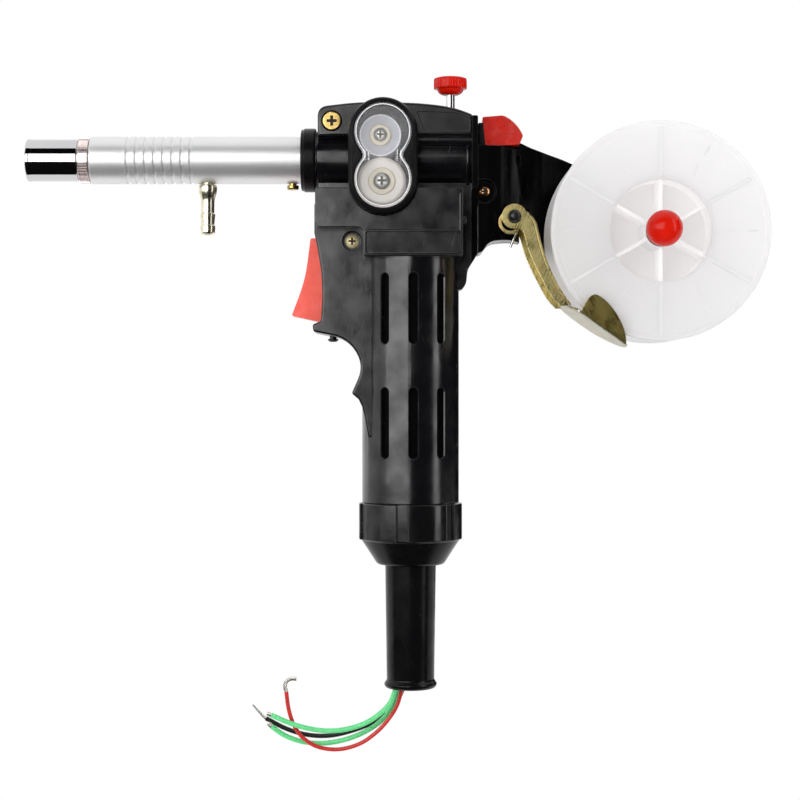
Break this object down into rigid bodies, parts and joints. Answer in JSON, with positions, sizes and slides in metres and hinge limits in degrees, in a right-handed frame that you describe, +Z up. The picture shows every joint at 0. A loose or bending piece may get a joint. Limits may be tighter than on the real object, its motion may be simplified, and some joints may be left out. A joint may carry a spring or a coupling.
{
  "type": "mig welding torch",
  "caption": "Pistol-grip wire-feeding welding torch: grooved barrel and nozzle, windowed feed head with rollers, trigger handle, side spool with brake lever.",
  "frame": {"origin": "on the handle's axis, in the middle of the palm", "axes": "+Z up along the handle; -X along the barrel to the muzzle; -Y to the side with the window"},
  "size_m": [0.3428, 0.075, 0.3137],
  "materials": {
    "black_abs": "satin",
    "dark_plastic": "satin",
    "red_plastic": "gloss",
    "trigger_red": "satin",
    "milky_plastic": "satin, translucent",
    "clear_plastic": "clear",
    "cream_plastic": "satin",
    "steel": "satin",
    "chrome": "mirror",
    "aluminium": "satin, turned",
    "nickel": "satin, knurled",
    "brass": "bright",
    "copper": "bright",
    "zinc_yellow": "zinc-plated, yellow passivated",
    "insulation_green": "satin",
    "insulation_red": "satin",
    "insulation_black": "satin"
  },
  "bodies": {
    "body": {"body_shell_left": "black_abs", "body_shell_right": "black_abs", "spool_arm": "black_abs", "gear_cover": "black_abs", "front_collar": "black_abs", "brake_pin": "black_abs", "barrel_bush": "dark_plastic", "microswitch": "dark_plastic", "cable_boot": "dark_plastic", "window": "clear_plastic", "outlet_guide": "steel", "inlet_guide": "steel", "idler_axle": "steel", "gear_motor": "steel", "pressure_arm_pin": "steel", "tension_spring": "steel", "trigger_pin": "steel", "trigger_spring": "steel", "spindle": "steel", "spool_washer": "steel", "spool_spring": "steel", "brake_spring": "steel", "guard_screw": "steel", "barrel_sleeve": "aluminium", "lock_ring": "nickel", "conductor_tube": "brass", "gas_diffuser": "brass", "gas_nipple": "brass", "set_screw": "brass", "shell_screw_head": "brass", "shell_screw_web": "brass", "contact_tip": "copper", "shell_screw_arm": "copper", "lead_green_long": "insulation_green", "lead_green_short": "insulation_green", "lead_red": "insulation_red", "lead_black": "insulation_black"},
    "drive_train": {"drive_roller": "milky_plastic", "drive_axle": "steel", "drive_gear": "dark_plastic", "drive_washer": "cream_plastic", "drive_screw": "steel"},
    "idler": {"idler_gear": "dark_plastic"},
    "motor_rotor": {"motor_pinion": "steel", "motor_shaft": "steel"},
    "pressure_rocker": {"pressure_arm": "dark_plastic", "pressure_axle": "steel", "pressure_bush": "cream_plastic", "pressure_screw": "steel", "release_lever": "red_plastic"},
    "upper_roller": {"pressure_roller": "milky_plastic"},
    "tension": {"tension_knob": "red_plastic", "tension_screw": "steel"},
    "trigger": {"trigger": "trigger_red"},
    "spool": {"spool_half_left": "milky_plastic", "spool_half_right": "milky_plastic"},
    "spool_nut": {"spool_nut": "red_plastic"},
    "brake": {"brake_lever": "zinc_yellow"},
    "collar_nut": {"collar_nut": "black_abs"},
    "nozzle": {"nozzle": "chrome"}
  },
  "joints": [
    {"name": "drive_roller_spin", "type": "hinge", "parent": "body", "child": "drive_train", "pos_m": [-0.0132, 0, 0.0899], "axis": [0, 1, 0], "continuous": true},
    {"name": "idler_spin", "type": "hinge", "parent": "body", "child": "idler", "pos_m": [0, 0.01, 0.07919], "axis": [0, 1, 0], "continuous": true},
    {"name": "motor_spin", "type": "hinge", "parent": "body", "child": "motor_rotor", "pos_m": [0, 0, 0.068], "axis": [0, 0, 1], "continuous": true},
    {"name": "pressure_arm_lift", "type": "hinge", "parent": "body", "child": "pressure_rocker", "pos_m": [0.0262, 0, 0.112], "axis": [0, 1, 0], "range_deg": [0, 3], "stiffness_Nm_per_rad": 2, "springref_deg": -3.44, "deforming": ["tension_spring"]},
    {"name": "pressure_roller_spin", "type": "hinge", "parent": "pressure_rocker", "child": "upper_roller", "pos_m": [-0.0139, 0, 0.1109], "axis": [0, 1, 0], "continuous": true},
    {"name": "tension_knob_turn", "type": "hinge", "parent": "body", "child": "tension", "pos_m": [0.0185, 0, 0.136], "axis": [0, 0, 1], "range_deg": [-720, 720]},
    {"name": "trigger_pull", "type": "hinge", "parent": "body", "child": "trigger", "pos_m": [-0.0396, 0, 0.0612], "axis": [0, -1, 0], "range_deg": [0, 8], "stiffness_Nm_per_rad": 0.4, "springref_deg": -4.58, "deforming": ["trigger_spring"]},
    {"name": "spool_spin", "type": "hinge", "parent": "body", "child": "spool", "pos_m": [0.1135, 0, 0.0671], "axis": [0, 1, 0], "continuous": true},
    {"name": "spool_nut_turn", "type": "hinge", "parent": "body", "child": "spool_nut", "pos_m": [0.1135, -0.035, 0.0671], "axis": [0, 1, 0], "range_deg": [-720, 720]},
    {"name": "brake_lever_swing", "type": "hinge", "parent": "body", "child": "brake", "pos_m": [0.0474, 0, 0.0741], "axis": [0, 1, 0], "range_deg": [0, 35], "stiffness_Nm_per_rad": 0.15, "springref_deg": -28.65, "deforming": ["brake_spring"]},
    {"name": "collar_nut_turn", "type": "hinge", "parent": "body", "child": "collar_nut", "pos_m": [0, 0, -0.07], "axis": [0, 0, 1], "range_deg": [-720, 720]},
    {"name": "nozzle_pull", "type": "slide", "parent": "body", "child": "nozzle", "axis": [-1, 0, 0], "range_m": [0, 0.012]}
  ],
  "couplings": [
    {"joint": "idler_spin", "follows": "drive_roller_spin", "ratio": -1.8333},
    {"joint": "motor_spin", "follows": "drive_roller_spin", "ratio": -4.4815},
    {"joint": "pressure_roller_spin", "follows": "drive_roller_spin", "ratio": -1.1684}
  ]
}
